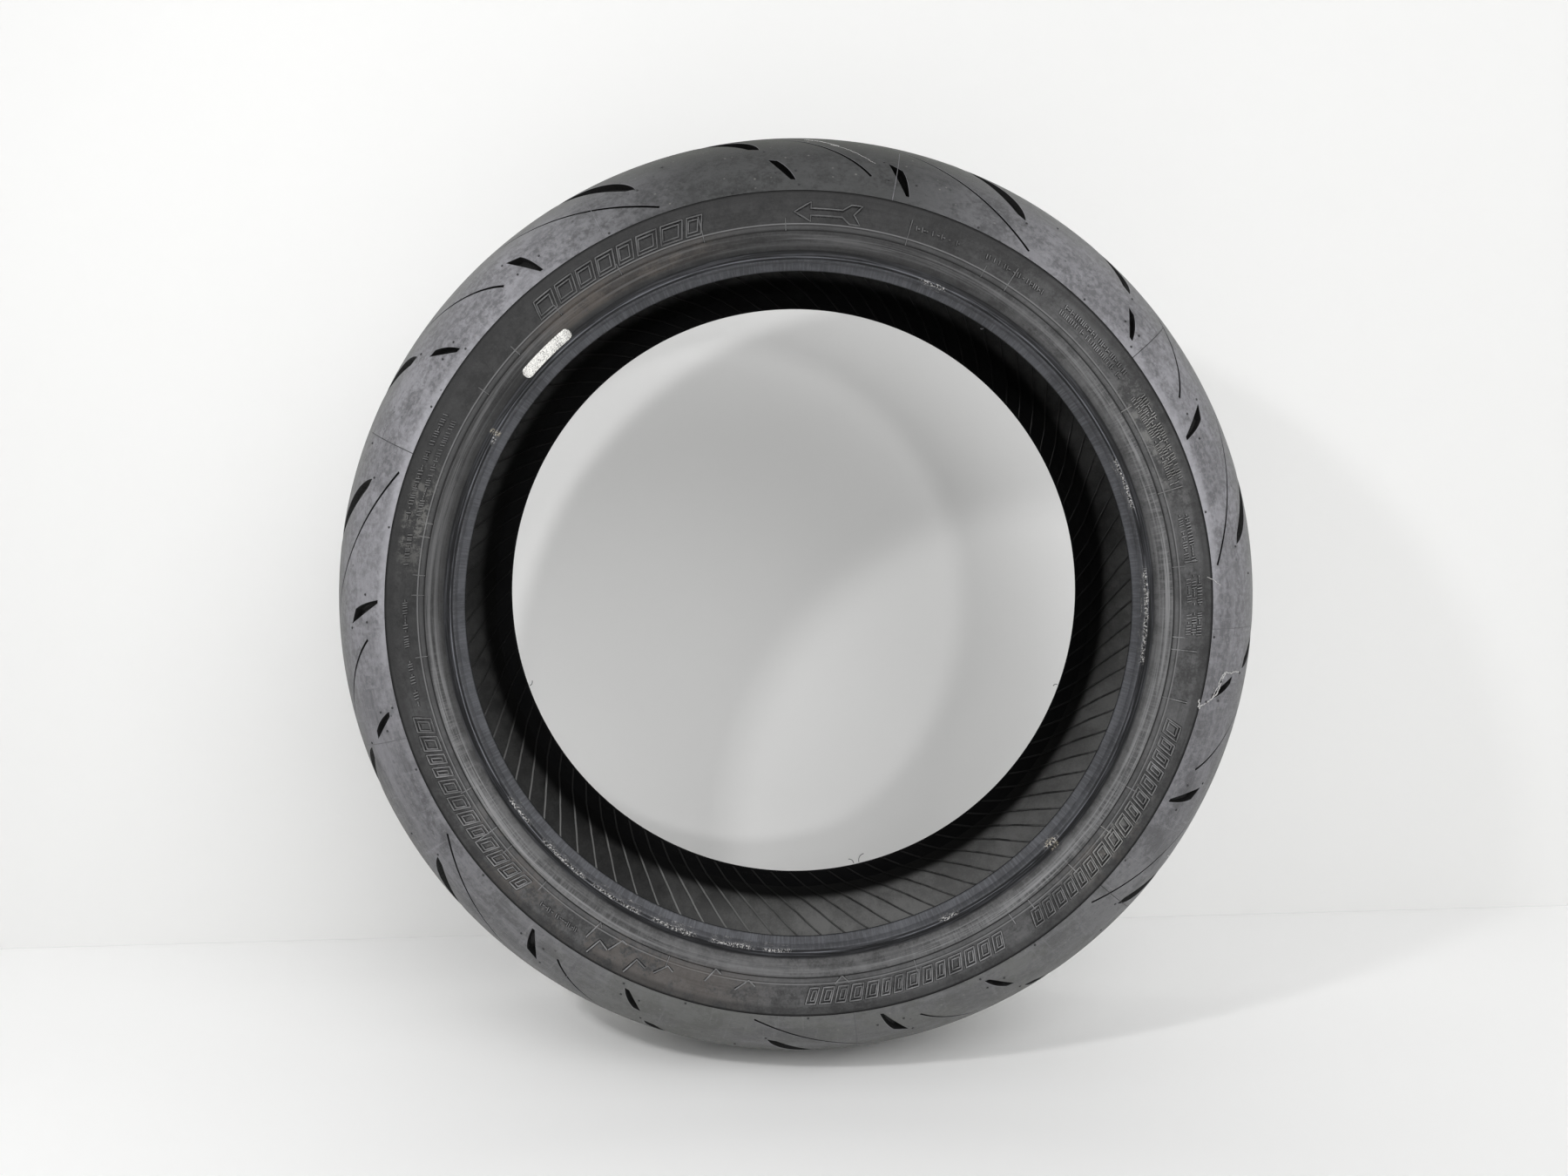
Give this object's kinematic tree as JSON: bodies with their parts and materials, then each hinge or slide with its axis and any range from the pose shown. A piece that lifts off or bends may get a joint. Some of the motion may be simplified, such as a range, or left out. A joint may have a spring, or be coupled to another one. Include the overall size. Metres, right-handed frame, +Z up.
{
  "type": "motorcycle tyre",
  "caption": "Rear radial motorcycle tyre with a round grooved crown, two beads with tapered soles and an open air chamber.",
  "frame": {"origin": "wheel centre: on the axle line, midway between the two beads, which is also the centre of the outer box", "axes": "+Y along the axle, towards the right side; +Z up; +X completes the frame. Seen from the left side (-Y), the tyre rolls anticlockwise."},
  "size_m": [0.626, 0.1848, 0.6259],
  "materials": {
    "tread_rubber": "satin grey-black tread rubber, lightly dusty",
    "side_rubber": "satin black side rubber",
    "bead_rubber": "smooth black rubber with a soft gloss",
    "liner_rubber": "matt black rubber with fine slanted ribs",
    "hard_rubber": "matt black hard rubber",
    "belt_cord": "rubber-coated cord wound side by side",
    "ply_fabric": "rubber-coated textile cord",
    "bead_wire": "coated steel wire bundle",
    "label_paper": "worn white paper label"
  },
  "bodies": {
    "root": {"tread_cap": "tread_rubber", "jointless_belt": "belt_cord", "carcass_ply": "ply_fabric", "inner_liner": "liner_rubber", "sidewall_left": "side_rubber", "bead_core_left": "bead_wire", "bead_wrap_left": "ply_fabric", "bead_filler_left": "hard_rubber", "chafer_left": "bead_rubber", "sidewall_right": "side_rubber", "bead_core_right": "bead_wire", "bead_wrap_right": "ply_fabric", "bead_filler_right": "hard_rubber", "chafer_right": "bead_rubber", "bead_label": "label_paper"}
  },
  "joints": []
}
